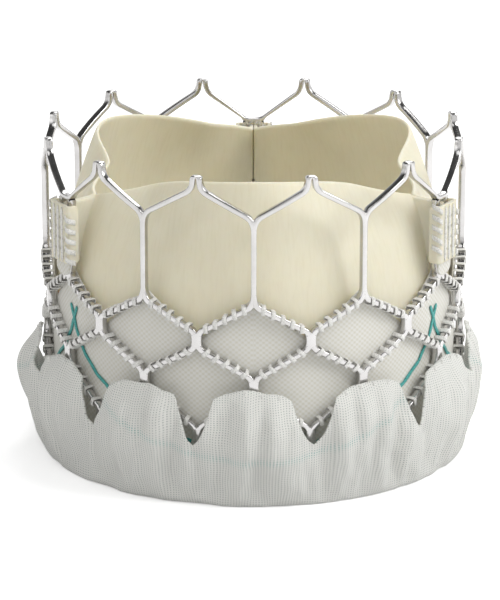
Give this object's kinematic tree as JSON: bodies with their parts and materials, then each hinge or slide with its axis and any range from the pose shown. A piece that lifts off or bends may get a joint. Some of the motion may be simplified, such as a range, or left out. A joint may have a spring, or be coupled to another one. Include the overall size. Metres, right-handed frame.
{
  "type": "transcatheter heart valve",
  "caption": "Balloon-expandable heart valve: tubular metal frame, tissue leaflets that swing between open and closed, inner and outer cloth skirts.",
  "frame": {"origin": "middle of the inflow end's resting plane", "axes": "+Z along the valve's axis towards the outflow end; -Y towards the middle of the front leaflet; +X to the right seen from the front"},
  "size_m": [0.0284, 0.0284, 0.02],
  "materials": {
    "frame_metal": "electropolished cobalt-chromium tube, laser cut",
    "knitted_cloth": "fine knitted polyester",
    "woven_cloth": "plain woven polyester",
    "tissue": "fixed bovine pericardium, thin, moist, semi-gloss",
    "teal_suture": "braided polyester suture, green",
    "white_suture": "braided and ribbon polyester suture, white"
  },
  "bodies": {
    "root": {"stent_frame": "frame_metal", "inner_skirt": "woven_cloth", "outer_skirt": "knitted_cloth", "inflow_hem": "knitted_cloth", "upper_row_stitches": "white_suture", "middle_row_stitches": "white_suture", "lower_row_stitches": "white_suture", "inflow_row_stitches": "white_suture", "skirt_edge_stitches": "white_suture", "hem_stitches": "white_suture", "cusp_strip_front": "woven_cloth", "cusp_suture_front": "teal_suture", "cusp_strip_rear_right": "woven_cloth", "cusp_suture_rear_right": "teal_suture", "cusp_strip_rear_left": "woven_cloth", "cusp_suture_rear_left": "teal_suture", "commissure_patch_right": "woven_cloth", "commissure_tabs_right": "tissue", "tab_suture_right": "white_suture", "tab_lashing_right": "white_suture", "commissure_patch_rear": "woven_cloth", "commissure_tabs_rear": "tissue", "tab_suture_rear": "white_suture", "tab_lashing_rear": "white_suture", "commissure_patch_left": "woven_cloth", "commissure_tabs_left": "tissue", "tab_suture_left": "white_suture", "tab_lashing_left": "white_suture"},
    "leaflet_front": {"leaflet_front": "tissue"},
    "leaflet_rear_right": {"leaflet_rear_right": "tissue"},
    "leaflet_rear_left": {"leaflet_rear_left": "tissue"}
  },
  "joints": [
    {"name": "leaflet_front_closing", "type": "hinge", "parent": "root", "child": "leaflet_front", "pos_m": [0, -0.01212, 0.00324], "axis": [-1, 0, 0], "range_deg": [0, 41], "deforming": ["leaflet_front"]},
    {"name": "leaflet_rear_right_closing", "type": "hinge", "parent": "root", "child": "leaflet_rear_right", "pos_m": [0.0105, 0.00606, 0.00324], "axis": [0.5, -0.866, 0], "range_deg": [0, 41], "deforming": ["leaflet_rear_right"]},
    {"name": "leaflet_rear_left_closing", "type": "hinge", "parent": "root", "child": "leaflet_rear_left", "pos_m": [-0.0105, 0.00606, 0.00324], "axis": [0.5, 0.866, 0], "range_deg": [0, 41], "deforming": ["leaflet_rear_left"]}
  ]
}
